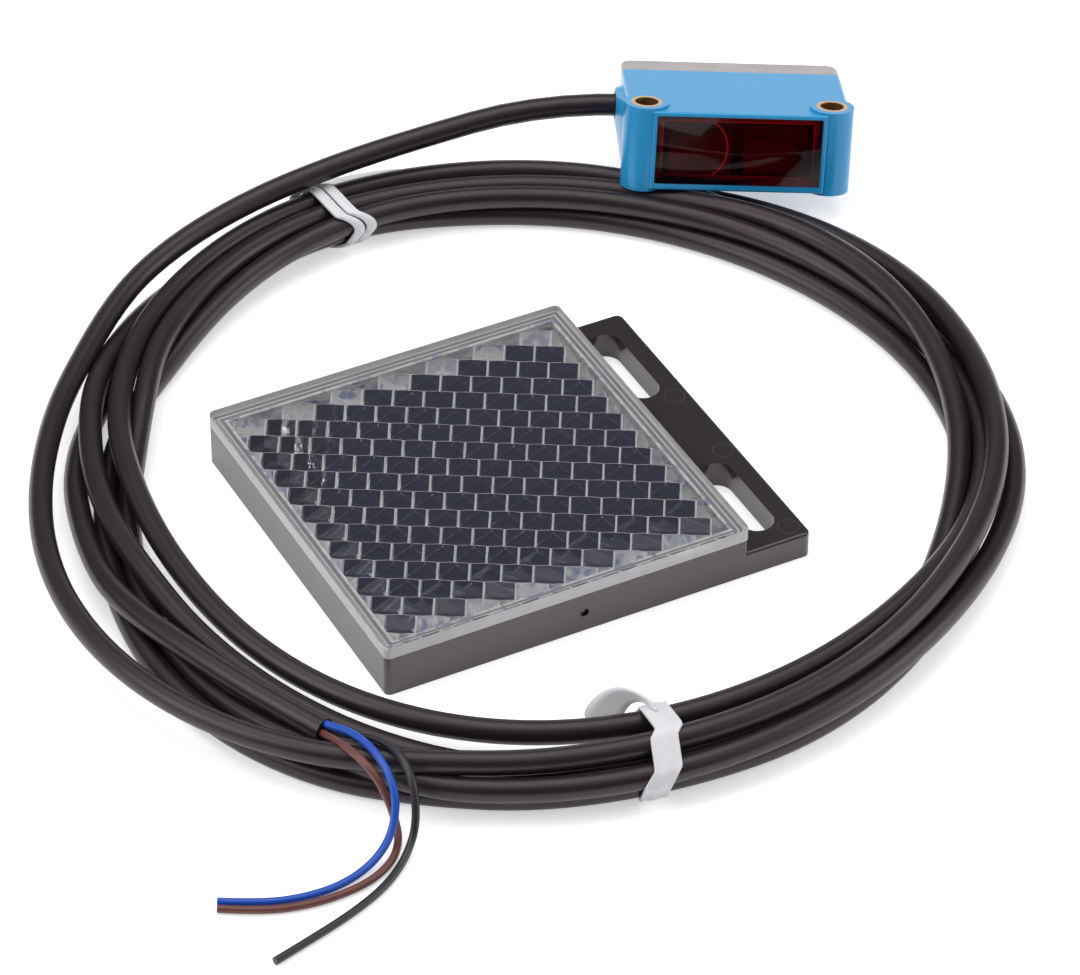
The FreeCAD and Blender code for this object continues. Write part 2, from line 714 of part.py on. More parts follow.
def cord_pieces(placement):
    pieces = {
        "cable_coil": cable_coil(),
        "cable_lead": above_coil(tube(lead_run(placement), CABLE_D, "cable_lead")),
        "cable_tail": above_coil(tube(TAIL_ROUTE, CABLE_D, "cable_tail")),
    }
    routes = {"wire_blue": BLUE_ROUTE, "wire_brown": BROWN_ROUTE, "wire_black": BLACK_ROUTE}
    for place, (node, route) in enumerate(routes.items()):
        clock_angle = WIRE_FIRST_ANGLE + place * 360 / len(routes)
        pieces[node] = tube(wire_run(clock_angle, route), WIRE_D, node)
    return pieces


def main():
    os.makedirs("parts", exist_ok=True)
    head = head_pieces()
    placement = head_placement(head)
    for node, shape in head.items():
        save(shape.transformed(placement.toMatrix(), True), node)
    for node, shape in cord_pieces(placement).items():
        save(shape, node)
    for node, shape in twist_ties().items():
        save(shape, node)
    save(reflector_base(), "reflector_base")
    save(reflector_lens(), "reflector_lens")


main()
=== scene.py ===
# Looks of the retroreflective photoelectric sensor: the blue head with its dark red window,
# the black cable wound round the prism reflector, the wire ends and the two twist ties.
import bpy
import bmesh
import math
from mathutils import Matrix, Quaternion, Vector


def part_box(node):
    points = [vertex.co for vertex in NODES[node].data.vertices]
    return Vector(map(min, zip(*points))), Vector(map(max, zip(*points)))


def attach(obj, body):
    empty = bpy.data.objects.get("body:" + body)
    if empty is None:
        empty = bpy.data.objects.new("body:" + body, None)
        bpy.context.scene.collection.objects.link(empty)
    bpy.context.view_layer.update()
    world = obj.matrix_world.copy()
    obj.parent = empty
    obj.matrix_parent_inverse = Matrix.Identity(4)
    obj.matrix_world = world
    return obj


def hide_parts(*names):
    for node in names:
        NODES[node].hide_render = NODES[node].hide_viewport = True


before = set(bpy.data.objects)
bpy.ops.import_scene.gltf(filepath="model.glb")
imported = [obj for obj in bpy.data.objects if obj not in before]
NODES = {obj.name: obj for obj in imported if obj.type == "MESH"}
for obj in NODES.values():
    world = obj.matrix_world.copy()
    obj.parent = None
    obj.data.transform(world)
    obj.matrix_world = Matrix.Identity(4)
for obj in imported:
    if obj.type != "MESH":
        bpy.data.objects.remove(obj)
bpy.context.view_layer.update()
MM = 0.001

# Camera, as the photograph was taken: eye and aim in millimetres, focal length in its pixels.
PHOTO_WIDTH = 1080
FOCAL_PIXELS = 5114.2
SENSOR_WIDTH = 36.0
EYE = Vector((-225.9, -452.8, 414.68)) * MM
AIM = Vector((10.0, 1.41, 0.0)) * MM
CAMERA_ROLL = math.radians(0.23)
NEAR_CLIP = 0.01
FAR_CLIP = 20

# Room: its brightness from the far wall (0) over the ceiling and the side walls (0.5) to the front (1).
ROOM_FRONT = (-0.461, -0.887, 0.0)
ROOM_SHADES = [
    (0.03, (0.9, 0.9, 0.9)),
    (0.06, (0.10, 0.105, 0.125)),
    (0.20, (0.10, 0.105, 0.125)),
    (0.33, (0.55, 0.55, 0.55)),
    (0.72, (0.75, 0.75, 0.75)),
    (0.84, (0.036, 0.038, 0.056)),
]

# Soft boxes: place, aim, width and height in metres, then watts.
SOFT_BOXES = {
    "top_soft_box": ((0.05, 0.15, 0.75), (0.0, 0.0, 0.0), 0.8, 0.7, 2.8),
    "left_soft_box": ((-0.6, 0.1, 0.45), (0.0, 0.0, 0.0), 0.4, 0.5, 1.6),
    "right_soft_box": ((0.62, -0.30, 0.25), (0.05, 0.05, 0.0), 0.3, 0.4, 0.9),
}

# Bench under the object
BENCH_REACH = 3.0        # metres from its middle to its sides
BENCH_SHADE = (0.92, 0.92, 0.92, 1)
BENCH_ROUGHNESS = 0.9
BENCH_LIFT = 0.5         # glow that brings the bench to white

# Limits of the mesh work
MERGE = 0.001 * MM       # points nearer than this are one, and cuts this close to an edge follow it
LEVEL = 0.01 * MM        # a face this close to a height lies at it
FLAT_TURN = math.radians(0.5)
SAME_WAY = 0.99          # a face looks the same way if the two normals agree this far
UPRIGHT = 0.1            # an upright face's normal rises no more than this
ARC_STEPS = 32

# Cable and wires: sizes in metres, then the free stretches by points in millimetres.
CABLE_D = 3.1 * MM
WIRE_D = 1.0 * MM
CORD_SIDES = 5           # steps in a quarter of a cord's section
CORD_STEPS = 5           # steps between two points of its route
LEAD_POINTS = [
    (53.70, 58.83, 10.61),
    (42.67, 63.99, 11.30),
    (21.5, 65.9, 9.9),
    (9.3, 66.3, 8.9),
    (-1.8, 65.5, 7.9),
    (-13.3, 62.6, 6.9),
    (-24.2, 57.0, 5.9),
]
TAIL_POINTS = [
    (-48.8, 8.8, 2.9),
    (-48.5, -1.5, 4.2),
    (-45.9, -12.6, 5.4),
    (-42.0, -24.2, 5.7),
    (-37.6, -34.4, 5.9),
]
WIRE_POINTS = {
    "wire_blue": [
        (-38.0, -33.0, 6.5), (-37.0, -35.2, 6.9), (-35.9, -37.8, 7.8), (-35.2, -41.2, 8.3),
        (-34.9, -44.6, 8.2), (-34.9, -47.0, 7.3), (-35.1, -48.9, 5.7), (-36.0, -50.2, 3.5),
        (-37.6, -51.6, 1.8), (-40.6, -53.2, 0.8), (-44.8, -54.5, 0.6), (-49.5, -54.5, 0.6),
        (-54.6, -53.1, 0.6), (-59.2, -50.4, 0.6),
    ],
    "wire_brown": [
        (-38.5, -33.2, 5.6), (-37.8, -35.2, 6.0), (-37.6, -39.3, 7.6), (-37.0, -43.4, 8.3),
        (-36.2, -46.0, 7.1), (-35.6, -47.5, 4.8), (-35.2, -48.6, 2.2), (-35.6, -50.6, 0.7),
        (-37.8, -53.5, 0.6), (-41.4, -55.4, 0.6), (-45.4, -56.0, 0.6), (-50.0, -55.8, 0.6),
        (-55.2, -54.3, 0.6), (-59.7, -51.5, 0.6),
    ],
    "wire_black": [
        (-37.4, -32.8, 5.6), (-36.7, -35.0, 5.8), (-35.4, -37.6, 6.7), (-33.9, -39.6, 7.5),
        (-32.9, -42.4, 8.2), (-32.6, -45.4, 8.4), (-32.7, -48.0, 7.7), (-33.1, -49.9, 5.9),
        (-33.7, -51.3, 3.6), (-34.6, -52.2, 1.6), (-37.0, -54.4, 0.6), (-40.8, -57.2, 0.6),
        (-45.8, -59.3, 0.6), (-51.6, -61.0, 0.6), (-57.4, -62.5, 0.6),
    ],
}

# Coil: the radius of each turn in millimetres at twelve places round it, and which turn lies
# over which (in thicknesses of cable). The places are counted from the photograph's right hand.
COIL_CENTRE = Vector((10.53, 5.78, 0.0)) * MM
COIL_ZERO = math.radians(-27.45)
PLACES = 12
FIRST_PLACE = 4
TURN_RADII = [
    62.4, 61.4, 60.2, 66.8, 68.4, 63.8, 62.2, 58.6,
    59.4, 61.2, 61.6, 59.0, 58.2, 59.4, 56.6, 53.4, 56.5, 62.2, 61.6, 57.0,
    55.9, 57.3, 57.6, 56.4, 56.6, 54.4, 49.2, 55.0, 64.2, 68.0, 64.4, 60.0,
    64.2, 59.8, 59.4, 58.6, 59.6, 57.0, 51.8, 48.7, 53.4, 57.1, 55.6, 56.4,
    58.8, 56.4, 54.8, 53.4, 55.8, 50.0, 51.8, 58.5, 65.2, 66.2, 63.4, 58.6,
    57.5, 54.9, 53.0, 53.2, 54.9, 55.2, 58.3, 59.4, 61.0,
]
TURN_LAYERS = [
    2.55, 1.7, 0.3, 0.0, 0.1, 1.75, 2.1, 1.4,
    1.0, 0.8, 0.4, 0.0, 0.0, 0.0, 0.8, 1.0, 0.5, 0.15, 0.4, 0.2,
    0.9, 0.8, 0.6, 1.0, 1.0, 0.9, 0.0, 0.0, 0.3, 1.0, 1.35, 1.0,
    0.1, 0.0, 0.5, 1.0, 1.0, 0.8, 0.9, 1.0, 0.5, 0.95, 1.0, 1.0,
    0.0, 0.0, 0.5, 1.0, 1.0, 0.7, 0.0, 0.0, 0.0, 0.1, 0.1, 0.0,
    0.0, 0.0, 0.0, 0.0, 0.0, 0.0, 0.2, 0.75, 1.41,
]
LAYER_RISE = 2.8 * MM
POINTS_PER_TURN = 36
STRAND_GAP = 3.14 * MM   # between the middles of two turns that touch
LEAD_HELD = 5            # points at the start of the coil that the lead's route fixes
TAIL_HELD = 5            # and at its end, that the tail's route fixes

# How the turns settle, in small rounds
SETTLE_ROUNDS = 800
SETTLE_PULL = 0.08       # share of the way back to the measured radius in each round
SETTLE_FALL = 0.02 * MM
SETTLE_SMOOTH = (0.3, 0.5)
TIE_HOLD = 0.24          # share of the way back to the laid height, where a tie grips the turns
TIE_HOLD_REACH = math.radians(45)
TIE_LIFT = 0.9 * MM      # the turns lie this far off the bench where a tie passes under them
TIE_LIFT_REACH = math.radians(20)

# Twist ties: flat strips with a wire along the middle. Each has its angle round the coil, its width,
# the places of its wraps along the coil, how far a wrap leans at its outer side and at its top,
# and the two edges of its free end, point by point in millimetres.
REAR_TIE_ANGLE = math.radians(91.0)
FRONT_TIE_ANGLE = math.radians(258.5)
TIE_THICK = 0.35 * MM
TIE_SLACK = 0.15 * MM
TIE_SIDES = 48
TIE_SMOOTHING = 2
TIE_PROFILE = [(-0.5, 0.12), (-0.3, 0.0), (-0.08, 0.2), (0.08, 0.2), (0.3, 0.0), (0.5, 0.12)]
REAR_END = [
    ((8.0, 67.5, 5.5), (8.0, 66.4, 5.5)),
    ((10.4, 69.3, 4.6), (11.7, 67.0, 4.6)),
    ((17.0, 69.2, 4.0), (17.1, 67.5, 4.0)),
    ((23.1, 68.3, 3.6), (22.7, 67.2, 3.6)),
]
FRONT_END = [
    ((-7.5, -43.1, 2.0), (-3.4, -45.6, 1.6)),
    ((-6.6, -42.9, 4.0), (-3.0, -45.5, 2.8)),
    ((-5.0, -43.1, 5.6), (-2.5, -45.6, 4.0)),
    ((-3.4, -44.2, 6.8), (-2.1, -46.2, 5.3)),
    ((-2.2, -46.4, 7.4), (-1.5, -47.4, 6.3)),
    ((-1.5, -48.6, 7.6), (-1.4, -49.4, 6.9)),
    ((-1.2, -50.7, 7.8), (-1.6, -51.4, 7.6)),
]
TIES = {
    "rear": (REAR_TIE_ANGLE, 1.6, (-0.9, 0.9), (2.5, 0.0), REAR_END),
    "front": (FRONT_TIE_ANGLE, 3.5, (-1.35,), (-1.35, 0.95), FRONT_END),
}

# Head: the middle of its front face and its axes, then the room that it leaves the turns beneath it.
HEAD_BASE = Vector((60.83, 40.88, 11.363)) * MM
HEAD_RIGHT = Vector((0.9043, -0.4231, -0.0568))
HEAD_BACK = Vector((0.3976, 0.8831, -0.249))
HEAD_UP = Vector((0.1555, 0.2026, 0.9668))
HEAD_FOOT = 6.0 * MM     # from the head's middle down to the ends of its bosses
HEAD_HALF = 16.2 * MM
HEAD_MARGIN = 1.5 * MM

# Window: the border and the painted highlight line on its back, and the painted highlight on the rim of the
# lens behind it.
PANE, PANE_BORDER, PANE_HIGHLIGHT = range(3)
WINDOW_BORDER = 0.95 * MM
HIGHLIGHT_LINE_WIDTH = 0.16 * MM
WINDOW_CENTRE = HEAD_BASE + HEAD_BACK * 1.1 * MM + HEAD_UP * 0.2 * MM
WINDOW_HALF = (11.3 * MM, 4.85 * MM)
RIM_X = -5.9 * MM
RIM_RADIUS = 4.4 * MM
RIM_WIDTH = 0.22 * MM
RIM_THICK = 0.05 * MM
RIM_SWEEP = math.radians(112)

# Reflector lens: the grooves between its prisms, pale as painted light lines (the way they run, width,
# finish), the streaks of its weld, with darker bands of painted shade (how far they reach in from the lens's
# sides, finish) and the shades of the painted glints at its sides.
PRISM, PAINTED_LIGHT_GROOVE, PAINTED_HIGHLIGHT_GROOVE, WELD, EDGE, SEAM_SHADE, PAINTED_GLINTS = range(7)
# The pale groove flats are painted light lines, those of the first way brighter painted highlights.
GROOVES = [
    ((0.408, 0.707, 0.577), 0.17 * MM, PAINTED_HIGHLIGHT_GROOVE),
    ((-0.408, 0.707, -0.577), 0.07 * MM, PAINTED_LIGHT_GROOVE),
    ((-0.816, 0.0, 0.577), 0.07 * MM, PAINTED_LIGHT_GROOVE),
]
GROOVE_WAY = 0.95        # an edge runs along a groove if the two ways agree this far
GROOVE_DEPTH = 0.05 * MM  # a groove lies at least this far below the slab
# Weld bands: pale weld, and darker bands of painted shade.
SEAM_BANDS = [
    (0.4 * MM, WELD),
    (0.85 * MM, SEAM_SHADE),
    (1.1 * MM, WELD),
    (1.6 * MM, SEAM_SHADE),
]
WELD_LIFT = 0.03 * MM
PAINTED_GLINT_SHADES = [
    (0.0, (0.42, 0.45, 0.68)),
    (0.15, (0.72, 0.73, 0.82)),
    (0.35, (0.88, 0.88, 0.90)),
    (0.70, (0.98, 0.98, 0.98)),
]

# Prism faces at the lens's -X, +X, -Y and +Y sides that get painted glints: how far in they reach, and the
# way they look.
FACE_RIGHT = Vector((0.816, 0.0, -0.577))
FACE_BACK = Vector((-0.408, 0.707, -0.577))
FACE_WAY = 0.9
SIDE_FACES = [
    (5.2 * MM, FACE_RIGHT),
    (3.6 * MM, FACE_RIGHT),
    (4.4 * MM, FACE_RIGHT),
    (3.6 * MM, FACE_BACK),
]

# Ejector marks on the reflector's tab, in millimetres: middles, ring radius, line width and height.
MARKS = [(32.3, 6.3), (32.4, -6.5), (32.3, -23.9)]
TAB_TOP = 3.64
MARK_RADIUS = 1.3
MARK_LINE = 0.12
MARK_RISE = 0.02


# Node trees of materials and of the room

def finish_material(name):
    mat = bpy.data.materials.new(name)
    mat.use_nodes = True
    return mat, mat.node_tree.nodes["Principled BSDF"]


def add_node(owner, kind, values=()):
    """A node in a material's or a world's tree, with these values in its sockets."""
    node = owner.node_tree.nodes.new(kind)
    for socket, value in dict(values).items():
        node.inputs[socket].default_value = value
    return node


def join(owner, source, target):
    owner.node_tree.links.new(source, target)


def add_ramp(owner, shades):
    """A colour ramp with a shade at each of these places."""
    ramp = add_node(owner, "ShaderNodeValToRGB")
    steps = ramp.color_ramp.elements
    steps.remove(steps[1])
    for place, colour in shades:
        steps.new(place).color = (*colour, 1)
    steps.remove(steps[0])
    return ramp


# Camera, light and floor

def photo_camera():
    data = bpy.data.cameras.new("photo_camera")
    data.sensor_fit = "HORIZONTAL"
    data.sensor_width = SENSOR_WIDTH
    data.lens = SENSOR_WIDTH * FOCAL_PIXELS / PHOTO_WIDTH
    data.clip_start = NEAR_CLIP
    data.clip_end = FAR_CLIP
    camera = bpy.data.objects.new("photo_camera", data)
    look = (AIM - EYE).to_track_quat("-Z", "Y") @ Quaternion((0, 0, 1), CAMERA_ROLL)
    camera.rotation_mode = "QUATERNION"
    camera.location = EYE
    camera.rotation_quaternion = look
    bpy.context.scene.collection.objects.link(camera)
    bpy.context.scene.camera = camera


def soft_box(name, place, aim, width, height, watts):
    data = bpy.data.lights.new(name, "AREA")
    data.shape = "RECTANGLE"
    data.size = width
    data.size_y = height
    data.energy = watts
    lamp = bpy.data.objects.new(name, data)
    lamp.location = place
    lamp.rotation_mode = "QUATERNION"
    lamp.rotation_quaternion = (Vector(aim) - Vector(place)).to_track_quat("-Z", "Y")
    bpy.context.scene.collection.objects.link(lamp)


def studio_world():
    """A pale room with a white far wall, dark above it, and a dark front below the camera."""
    world = bpy.data.worlds.new("studio")
    bpy.context.scene.world = world
    world.use_nodes = True
    coords = add_node(world, "ShaderNodeTexCoord")
    facing = add_node(world, "ShaderNodeVectorMath")
    facing.operation = "DOT_PRODUCT"
    facing.inputs[1].default_value = ROOM_FRONT
    share = add_node(world, "ShaderNodeMapRange", {"From Min": -1.0})
    ramp = add_ramp(world, ROOM_SHADES)
    background = world.node_tree.nodes["Background"]
    join(world, coords.outputs["Generated"], facing.inputs[0])
    join(world, facing.outputs["Value"], share.inputs["Value"])
    join(world, share.outputs["Result"], ramp.inputs["Fac"])
    join(world, ramp.outputs["Color"], background.inputs["Color"])


def bench_finish():
    """Pale and matt, with a glow for the eye and for mirrored and clear pieces, but not for the light."""
    mat, shader = finish_material("bench")
    shader.inputs["Base Color"].default_value = BENCH_SHADE
    shader.inputs["Roughness"].default_value = BENCH_ROUGHNESS
    shader.inputs["Specular IOR Level"].default_value = 0.0
    shader.inputs["Emission Color"].default_value = (1, 1, 1, 1)
    path = add_node(mat, "ShaderNodeLightPath")
    seen = path.outputs["Is Camera Ray"]
    for kind in ("Is Glossy Ray", "Is Transmission Ray"):
        either = add_node(mat, "ShaderNodeMath")
        either.operation = "MAXIMUM"
        join(mat, seen, either.inputs[0])
        join(mat, path.outputs[kind], either.inputs[1])
        seen = either.outputs["Value"]
    lift = add_node(mat, "ShaderNodeMath", {1: BENCH_LIFT})
    lift.operation = "MULTIPLY"
    join(mat, seen, lift.inputs[0])
    join(mat, lift.outputs["Value"], shader.inputs["Emission Strength"])
    return mat


def bench():
    """The pale floor, which shows white to the camera and keeps the soft shadows."""
    mesh = bpy.data.meshes.new("bench")
    shape = bmesh.new()
    bmesh.ops.create_grid(shape, x_segments=1, y_segments=1, size=BENCH_REACH)
    shape.to_mesh(mesh)
    shape.free()
    mesh.materials.append(bench_finish())
    floor = bpy.data.objects.new("bench", mesh)
    bpy.context.scene.collection.objects.link(floor)


def studio():
    photo_camera()
    studio_world()
    for name, setting in SOFT_BOXES.items():
        soft_box(name, *setting)
    bench()
    bpy.context.scene.view_settings.view_transform = "Standard"


# Finishes

def noise(mat, scale, detail=3.0):
    """Noise over the piece's own coordinates, so many blotches to the metre."""
    coords = add_node(mat, "ShaderNodeTexCoord")
    texture = add_node(mat, "ShaderNodeTexNoise", {"Scale": scale, "Detail": detail})
    join(mat, coords.outputs["Object"], texture.inputs["Vector"])
    return texture.outputs["Fac"]


def mottled(mat, shader, first, second, scale):
    """Base colour that drifts between two close shades."""
    mix = add_node(mat, "ShaderNodeMix")
    mix.data_type = "RGBA"
    mix.inputs["A"].default_value = (*first, 1)
    mix.inputs["B"].default_value = (*second, 1)
    join(mat, noise(mat, scale), mix.inputs["Factor"])
    join(mat, mix.outputs["Result"], shader.inputs["Base Color"])


def uneven_gloss(mat, shader, low, high, scale):
    """Roughness that drifts between two values."""
    spread = add_node(mat, "ShaderNodeMapRange", {"To Min": low, "To Max": high})
    join(mat, noise(mat, scale), spread.inputs["Value"])
    join(mat, spread.outputs["Result"], shader.inputs["Roughness"])


def fine_grain(mat, shader, scale, depth):
    """The faint grain of a moulded or turned surface."""
    bump = add_node(mat, "ShaderNodeBump", {"Strength": 0.5, "Distance": depth})
    join(mat, noise(mat, scale, 5.0), bump.inputs["Height"])
    join(mat, bump.outputs["Normal"], shader.inputs["Normal"])


def moulded_plastic(name, first, second, gloss, grain=0.01 * MM, **sockets):
    """Solid plastic between two close shades; any other values go straight to its sockets."""
    mat, shader = finish_material(name)
    mottled(mat, shader, first, second, 300)
    uneven_gloss(mat, shader, gloss[0], gloss[1], 500)
    fine_grain(mat, shader, 2500, grain)
    for socket, value in sockets.items():
        shader.inputs[socket.replace("_", " ")].default_value = value
    return mat


def clear_plastic(name, colour, gloss, grain=0.004 * MM, bending=1.49):
    mat, shader = finish_material(name)
    shader.inputs["Base Color"].default_value = (*colour, 1)
    shader.inputs["Transmission Weight"].default_value = 1.0
    shader.inputs["IOR"].default_value = bending
    uneven_gloss(mat, shader, gloss[0], gloss[1], 400)
    fine_grain(mat, shader, 600, grain)
    return mat


def turned_brass(name):
    mat, shader = finish_material(name)
    shader.inputs["Metallic"].default_value = 1.0
    mottled(mat, shader, (0.76, 0.53, 0.30), (0.68, 0.47, 0.26), 900)
    uneven_gloss(mat, shader, 0.22, 0.4, 1500)
    fine_grain(mat, shader, 4000, 0.01 * MM)
    return mat


def painted_glint_finish(name):
    """The cut-off prisms at the lens's sides: painted glints, angular patches each with a shade of its own.
    """
    mat, shader = finish_material(name)
    coords = add_node(mat, "ShaderNodeTexCoord")
    cells = add_node(mat, "ShaderNodeTexVoronoi", {"Scale": 800})
    shade = add_node(mat, "ShaderNodeSeparateColor")
    ramp = add_ramp(mat, PAINTED_GLINT_SHADES)
    join(mat, coords.outputs["Object"], cells.inputs["Vector"])
    join(mat, cells.outputs["Color"], shade.inputs["Color"])
    join(mat, shade.outputs["Red"], ramp.inputs["Fac"])
    join(mat, ramp.outputs["Color"], shader.inputs["Base Color"])
    shader.inputs["Metallic"].default_value = 0.15
    uneven_gloss(mat, shader, 0.2, 0.35, 500)
    return mat


def head_finishes():
    return {
        "sensor_housing": moulded_plastic("blue_plastic", (0.02, 0.33, 0.68), (0.025, 0.345, 0.70),
                                          (0.20, 0.25), 0.0003 * MM),
        "front_window": clear_plastic("red_window", (0.45, 0.015, 0.025), (0.03, 0.06), bending=1.2),
        "window_border": moulded_plastic("window_border", (0.34, 0.12, 0.12), (0.42, 0.14, 0.14), (0.3, 0.4)),
        # painted highlight: the bright red line on the window's back and on the lens rim
        "painted_highlight_line": moulded_plastic("painted_highlight_line", (0.85, 0.30, 0.30), (0.75, 0.25, 0.25), (0.3, 0.4)),
        "rear_cover": moulded_plastic("smoky_cover", (0.48, 0.43, 0.435), (0.74, 0.69, 0.69), (0.12, 0.2),
                                      0.001 * MM, Transmission_Weight=0.35, IOR=1.45),
        "bush": turned_brass("turned_brass"),
        "black": moulded_plastic("matt_black", (0.02, 0.02, 0.021), (0.028, 0.027, 0.028), (0.45, 0.6)),
        "lens": clear_plastic("lens_plastic", (0.95, 0.95, 0.96), (0.02, 0.05)),
        "film": moulded_plastic("grey_film", (0.03, 0.012, 0.014), (0.14, 0.03, 0.035), (0.2, 0.3)),
        "emitter_led": moulded_plastic("led_package", (0.75, 0.72, 0.66), (0.8, 0.77, 0.7), (0.25, 0.4)),
        "receiver_diode": moulded_plastic("diode_package", (0.05, 0.05, 0.06), (0.07, 0.07, 0.08),
                                          (0.25, 0.4)),
        "circuit_board": moulded_plastic("solder_resist", (0.02, 0.15, 0.06), (0.03, 0.18, 0.08),
                                         (0.3, 0.45)),
        "led_green": moulded_plastic("led_green", (0.35, 0.7, 0.25), (0.4, 0.75, 0.3), (0.2, 0.35)),
        "led_yellow": moulded_plastic("led_yellow", (0.8, 0.6, 0.1), (0.85, 0.66, 0.15), (0.2, 0.35)),
    }


def cable_finishes():
    return {
        "cable": moulded_plastic("cable_jacket", (0.018, 0.012, 0.014), (0.023, 0.016, 0.018),
                                 (0.30, 0.38), Specular_Tint=(1.0, 0.88, 0.93, 1)),
        "wire_blue": moulded_plastic("blue_insulation", (0.01, 0.08, 0.50), (0.012, 0.10, 0.56),
                                     (0.28, 0.4)),
        "wire_brown": moulded_plastic("brown_insulation", (0.15, 0.05, 0.04), (0.18, 0.06, 0.05),
                                      (0.3, 0.42)),
        "wire_black": moulded_plastic("black_insulation", (0.02, 0.018, 0.02), (0.03, 0.027, 0.03),
                                      (0.28, 0.4)),
        "tie": moulded_plastic("tie_plastic", (0.93, 0.93, 0.95), (0.88, 0.88, 0.91), (0.3, 0.45),
                               Transmission_Weight=0.1, IOR=1.45),
    }


def reflector_finishes():
    return {
        "reflector_base": moulded_plastic("charcoal_plastic", (0.028, 0.023, 0.026), (0.033, 0.028, 0.031),
                                          (0.15, 0.22), 0.004 * MM, Specular_IOR_Level=0.85,
                                          Specular_Tint=(1.0, 0.90, 0.95, 1)),
        "prism": clear_plastic("prism_plastic", (0.97, 0.97, 0.98), (0.0, 0.015), 0.009 * MM),
        # painted light: pale lines along the grooves, and brighter painted highlight lines
        "groove": moulded_plastic("groove_painted_light", (0.78, 0.76, 0.73), (0.68, 0.66, 0.64), (0.3, 0.5)),
        "painted_highlight_groove": moulded_plastic("groove_painted_highlight", (0.95, 0.95, 0.95), (0.86, 0.86, 0.88),
                                         (0.3, 0.5)),
        "weld": moulded_plastic("weld_seam", (0.90, 0.885, 0.89), (0.82, 0.80, 0.81), (0.4, 0.6)),
        "slab_edge": moulded_plastic("slab_edge", (0.93, 0.92, 0.93), (0.86, 0.85, 0.86), (0.3, 0.5),
                                     Transmission_Weight=0.45, IOR=1.49),
        # painted shade: darker bands across the weld
        "seam_shade": moulded_plastic("painted_seam_shade", (0.30, 0.285, 0.29), (0.42, 0.40, 0.41), (0.3, 0.5)),
        # painted glints: pale and bluish patches where the cut-off prisms catch light
        "glints": painted_glint_finish("painted_prism_glints"),
        "marks": moulded_plastic("ejector_marks", (0.05, 0.043, 0.047), (0.06, 0.052, 0.056), (0.3, 0.4)),
    }


FINISHES = head_finishes() | cable_finishes() | reflector_finishes()
NODE_FINISHES = {
    "sensor_housing": "sensor_housing",
    "rear_cover": "rear_cover",
    "mounting_bush_left": "bush",
    "mounting_bush_right": "bush",
    "optics_carrier": "black",
    "emitter_lens": "lens",
    "receiver_lens": "lens",
    "emitter_polariser": "film",
    "receiver_polariser": "film",
    "emitter_led": "emitter_led",
    "receiver_diode": "receiver_diode",
    "circuit_board": "circuit_board",
    "signal_chip": "black",
    "indicator_led_green": "led_green",
    "indicator_led_yellow": "led_yellow",
    "cable_seal": "black",
    "reflector_base": "reflector_base",
}


# Pieces

def new_piece(name, shape, *finishes):
    """A mesh piece that rides with the object and takes these finishes in its slots."""
    mesh = bpy.data.meshes.new(name)
    shape.to_mesh(mesh)
    shape.free()
    for finish in finishes:
        mesh.materials.append(FINISHES[finish])
    piece = bpy.data.objects.new(name, mesh)
    bpy.context.scene.collection.objects.link(piece)
    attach(piece, "root")
    return piece


def merged_copy(node):
    """A solid's mesh with its loose triangles merged into whole faces."""
    shape = bmesh.new()
    shape.from_mesh(NODES[node].data)
    bmesh.ops.remove_doubles(shape, verts=shape.verts, dist=MERGE)
    bmesh.ops.dissolve_limit(shape, angle_limit=FLAT_TURN, verts=shape.verts, edges=shape.edges)
    return shape


def cut_faces(shape, faces, place, normal):
    """Cuts these faces along a plane."""
    rims = {rim for face in faces for rim in face.edges}
    corners = {vert for face in faces for vert in face.verts}
    bmesh.ops.bisect_plane(shape, geom=list(corners) + list(rims) + faces, dist=MERGE,
                           plane_co=place, plane_no=normal)


def dress_nodes():
    for node, finish in NODE_FINISHES.items():
        materials = NODES[node].data.materials
        materials.clear()
        materials.append(FINISHES[finish])


# Head

def pane_back(shape):
    return [face for face in shape.faces if face.normal.dot(HEAD_BACK) > SAME_WAY]


def window_pane():
    """The red window: a copy of its solid, with a border and a painted highlight line on its back."""
    shape = merged_copy("front_window")
    highlight_end = WINDOW_BORDER + HIGHLIGHT_LINE_WIDTH
    sides = list(zip((HEAD_RIGHT, HEAD_UP), WINDOW_HALF))
    for inset in (WINDOW_BORDER, highlight_end):
        for way, half in sides:
            for side in (-1, 1):
                cut_faces(shape, pane_back(shape), WINDOW_CENTRE + way * side * (half - inset), way)
    for face in pane_back(shape):
        middle = face.calc_center_bounds() - WINDOW_CENTRE
        inside = min(half - abs(middle.dot(way)) for way, half in sides)
        if inside < WINDOW_BORDER:
            face.material_index = PANE_BORDER
        else:
            face.material_index = PANE_HIGHLIGHT if inside < highlight_end else PANE
    pane = new_piece("window_pane", shape, "front_window", "window_border", "painted_highlight_line")
    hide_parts("front_window")


def painted_lens_rim_highlight():
    """A painted highlight on the rim of the left lens: a thin bright flat arc that shows through the window.
    """
    shape = bmesh.new()
    centre = WINDOW_CENTRE + HEAD_RIGHT * RIM_X
    start = Quaternion(HEAD_BACK, RIM_SWEEP / 2) @ HEAD_RIGHT
    inner = shape.verts.new(centre + start * RIM_RADIUS)
    outer = shape.verts.new(centre + start * (RIM_RADIUS + RIM_WIDTH))
    edge = shape.edges.new((inner, outer))
    bmesh.ops.spin(shape, geom=[edge, inner, outer], cent=centre, axis=HEAD_BACK, angle=-RIM_SWEEP,
                   steps=ARC_STEPS, use_duplicate=False)
    bmesh.ops.solidify(shape, geom=shape.faces, thickness=RIM_THICK)
    bmesh.ops.recalc_face_normals(shape, faces=shape.faces)
    rim = new_piece("painted_lens_rim_highlight", shape, "painted_highlight_line")


# Reflector

